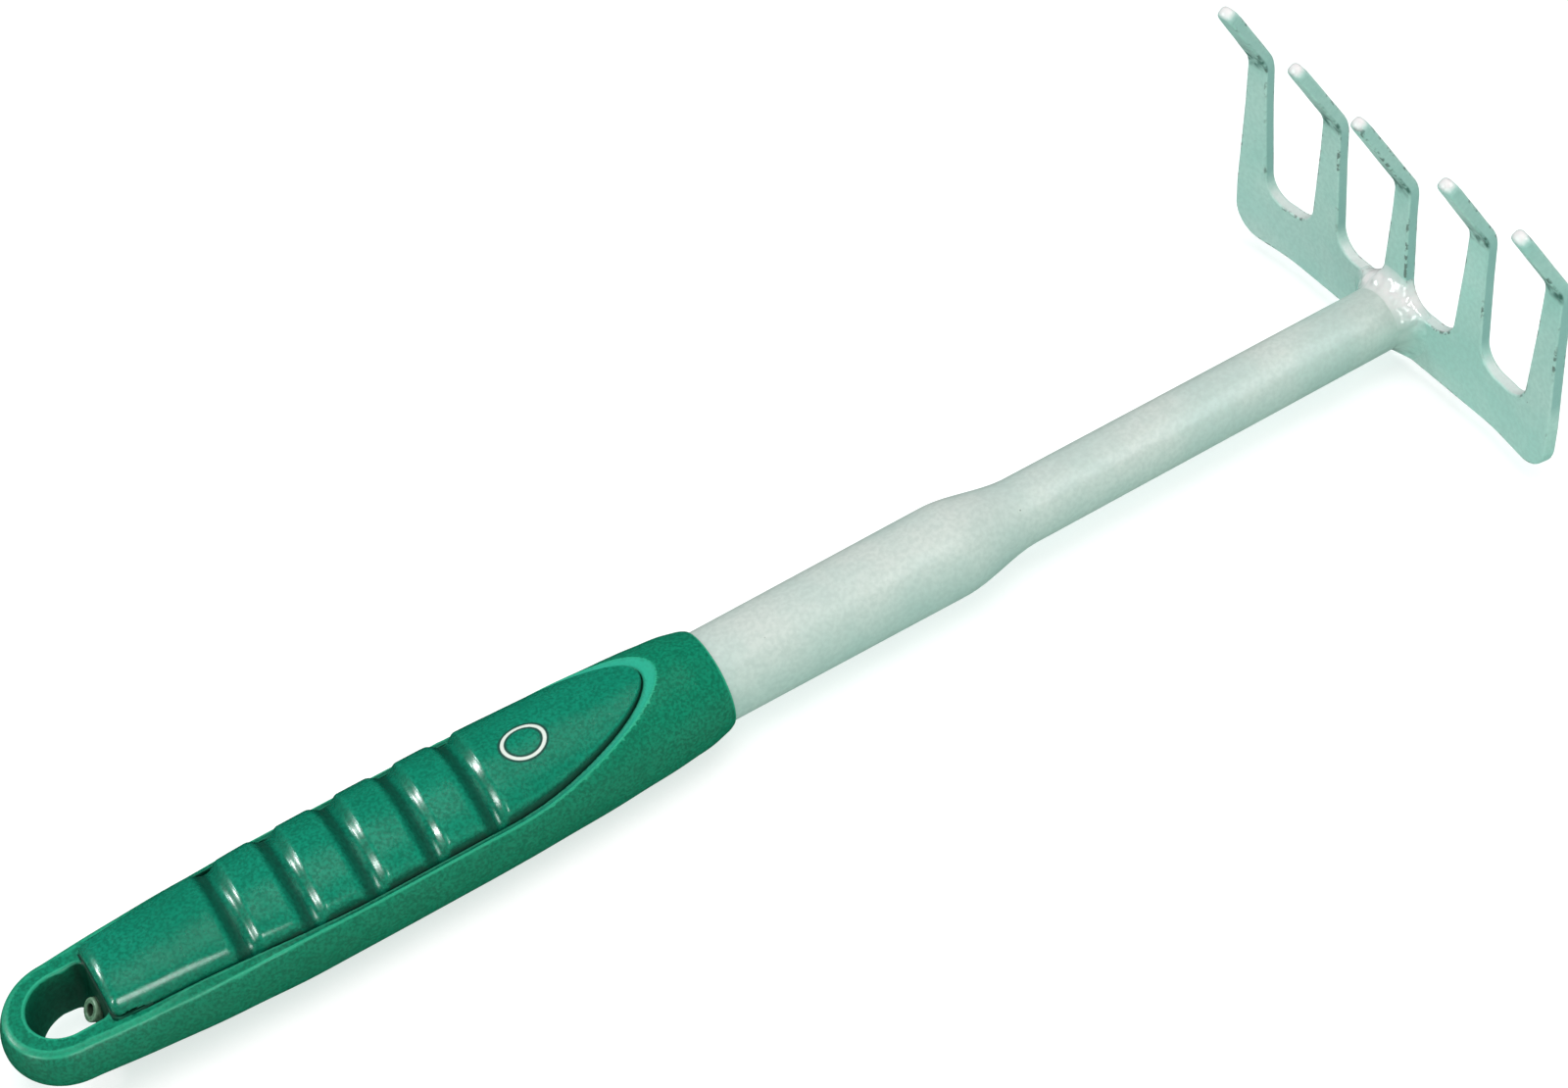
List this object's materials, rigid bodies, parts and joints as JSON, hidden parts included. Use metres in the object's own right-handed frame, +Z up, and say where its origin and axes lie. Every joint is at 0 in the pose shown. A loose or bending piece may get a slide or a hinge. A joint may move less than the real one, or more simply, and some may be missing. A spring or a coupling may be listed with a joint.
{
  "type": "hand cultivator",
  "caption": "Short-handled garden hand rake: a bent comb of tines welded to a swaged steel tube in a moulded grip with a hanging loop.",
  "frame": {"origin": "on the surface that the grip lies on, under the middle of the tool's length and width", "axes": "+X along the shaft towards the head, +Z up with the tines pointing up, Y across the head"},
  "size_m": [0.3524, 0.11, 0.08],
  "materials": {
    "painted_steel": "semi-gloss pale grey-green paint",
    "painted_weld": "semi-gloss paint over a lumpy weld",
    "grip_green": "satin moulded green plastic",
    "pad_green": "satin moulded green plastic, slightly soft"
  },
  "bodies": {
    "root": {"tine_head": "painted_steel", "weld_bead": "painted_weld", "shaft_tube": "painted_steel", "handle_body": "grip_green", "grip_pad": "pad_green"}
  },
  "joints": []
}
